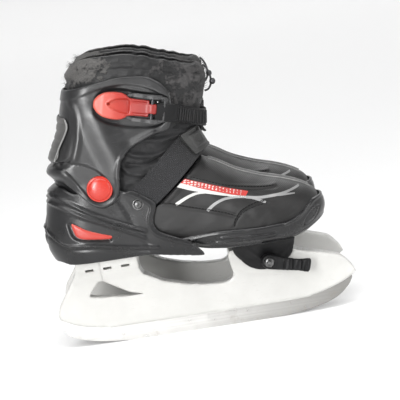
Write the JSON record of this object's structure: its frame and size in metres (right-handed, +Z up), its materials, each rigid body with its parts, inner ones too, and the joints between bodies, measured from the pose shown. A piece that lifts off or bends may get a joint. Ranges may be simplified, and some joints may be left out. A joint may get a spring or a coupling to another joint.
{
  "type": "pair of adjustable ice skates",
  "caption": "Pair of adjustable recreational ice skates: plastic shell boots with hinged buckled cuffs, soft liners, white blade holders, steel runners and sliding toe sections.",
  "frame": {"origin": "middle of the pair on the surface that the runners stand on", "axes": "+X towards the toes, +Y to the wearer's left, +Z up"},
  "size_m": [0.303, 0.2198, 0.286],
  "materials": {
    "runner_steel": "ground, lightly worn",
    "white_plastic": "moulded, satin",
    "shell_black": "moulded, satin with broad highlights",
    "cuff_black": "moulded, satin",
    "inlay_red": "moulded, satin",
    "cap_red": "moulded, satin",
    "lever_red": "moulded, satin, fading to dark red at the hinge",
    "panel_grey": "black with a grey edge",
    "liner_fabric": "knitted lining",
    "collar_fabric": "padded, coated, worn at the rim",
    "upper_fabric": "coated textile with seams and printed stripes",
    "footbed_foam": "foam with fabric top",
    "webbing": "woven strap",
    "tab_rubber": "ribbed",
    "strap_plastic": "moulded, satin",
    "lace_cord": "braided elastic",
    "dark_metal": "blackened"
  },
  "bodies": {
    "boots_and_blades": {"right_blade_runner": "runner_steel", "right_blade_holder": "white_plastic", "right_rear_shell": "shell_black", "right_heel_inlay_outer": "inlay_red", "right_heel_inlay_inner": "inlay_red", "right_inner_boot": "liner_fabric", "right_insole": "footbed_foam", "right_instep_strap": "webbing", "right_strap_tab": "tab_rubber", "right_strap_rivet_outer": "dark_metal", "right_strap_rivet_inner": "dark_metal", "left_blade_runner": "runner_steel", "left_blade_holder": "white_plastic", "left_rear_shell": "shell_black", "left_heel_inlay_outer": "inlay_red", "left_heel_inlay_inner": "inlay_red", "left_inner_boot": "liner_fabric", "left_insole": "footbed_foam", "left_instep_strap": "webbing", "left_strap_tab": "tab_rubber", "left_strap_rivet_outer": "dark_metal", "left_strap_rivet_inner": "dark_metal"},
    "right_cuff_set": {"right_cuff": "cuff_black", "right_cuff_back_panel": "panel_grey", "right_pivot_rivet_outer": "dark_metal", "right_pivot_rivet_inner": "dark_metal", "right_pivot_cap_outer": "cap_red", "right_pivot_cap_inner": "cap_red", "right_buckle_base": "dark_metal", "right_ladder_strap": "strap_plastic", "right_ladder_rivet": "dark_metal", "right_collar": "collar_fabric", "right_lace_loop": "lace_cord", "right_lace_bead": "strap_plastic"},
    "right_buckle": {"right_buckle_lever": "lever_red", "right_buckle_pin": "dark_metal"},
    "right_toe_section": {"right_toe_shell": "shell_black", "right_vamp": "upper_fabric", "right_saddle": "shell_black", "right_adjust_bolt": "dark_metal"},
    "right_size_lever": {"right_adjust_lever": "strap_plastic"},
    "left_cuff_set": {"left_cuff": "cuff_black", "left_cuff_back_panel": "panel_grey", "left_pivot_rivet_outer": "dark_metal", "left_pivot_rivet_inner": "dark_metal", "left_pivot_cap_outer": "cap_red", "left_pivot_cap_inner": "cap_red", "left_buckle_base": "dark_metal", "left_ladder_strap": "strap_plastic", "left_ladder_rivet": "dark_metal", "left_collar": "collar_fabric", "left_lace_loop": "lace_cord", "left_lace_bead": "strap_plastic"},
    "left_buckle": {"left_buckle_lever": "lever_red", "left_buckle_pin": "dark_metal"},
    "left_toe_section": {"left_toe_shell": "shell_black", "left_vamp": "upper_fabric", "left_saddle": "shell_black", "left_adjust_bolt": "dark_metal"},
    "left_size_lever": {"left_adjust_lever": "strap_plastic"}
  },
  "joints": [
    {"name": "right_cuff_flex", "type": "hinge", "parent": "boots_and_blades", "child": "right_cuff_set", "pos_m": [-0.087, -0.054, 0.164], "axis": [0, 1, 0], "range_deg": [-2, 5]},
    {"name": "right_buckle_open", "type": "hinge", "parent": "right_cuff_set", "child": "right_buckle", "pos_m": [-0.024, -0.1067, 0.237], "axis": [0.2672, 0, 0.9636], "range_deg": [0, 100]},
    {"name": "right_size_slide", "type": "slide", "parent": "boots_and_blades", "child": "right_toe_section", "axis": [1, 0, 0], "range_m": [0, 0.02]},
    {"name": "right_size_lock", "type": "hinge", "parent": "right_toe_section", "child": "right_size_lever", "pos_m": [0.0655, -0.0762, 0.064], "axis": [0, 1, 0], "range_deg": [0, 90]},
    {"name": "left_cuff_flex", "type": "hinge", "parent": "boots_and_blades", "child": "left_cuff_set", "pos_m": [-0.087, 0.054, 0.164], "axis": [0, 1, 0], "range_deg": [-2, 5]},
    {"name": "left_buckle_open", "type": "hinge", "parent": "left_cuff_set", "child": "left_buckle", "pos_m": [-0.024, 0.1067, 0.237], "axis": [-0.2672, 0, -0.9636], "range_deg": [0, 100]},
    {"name": "left_size_slide", "type": "slide", "parent": "boots_and_blades", "child": "left_toe_section", "axis": [1, 0, 0], "range_m": [0, 0.02]},
    {"name": "left_size_lock", "type": "hinge", "parent": "left_toe_section", "child": "left_size_lever", "pos_m": [0.0655, 0.0762, 0.064], "axis": [0, 1, 0], "range_deg": [0, 90]}
  ]
}
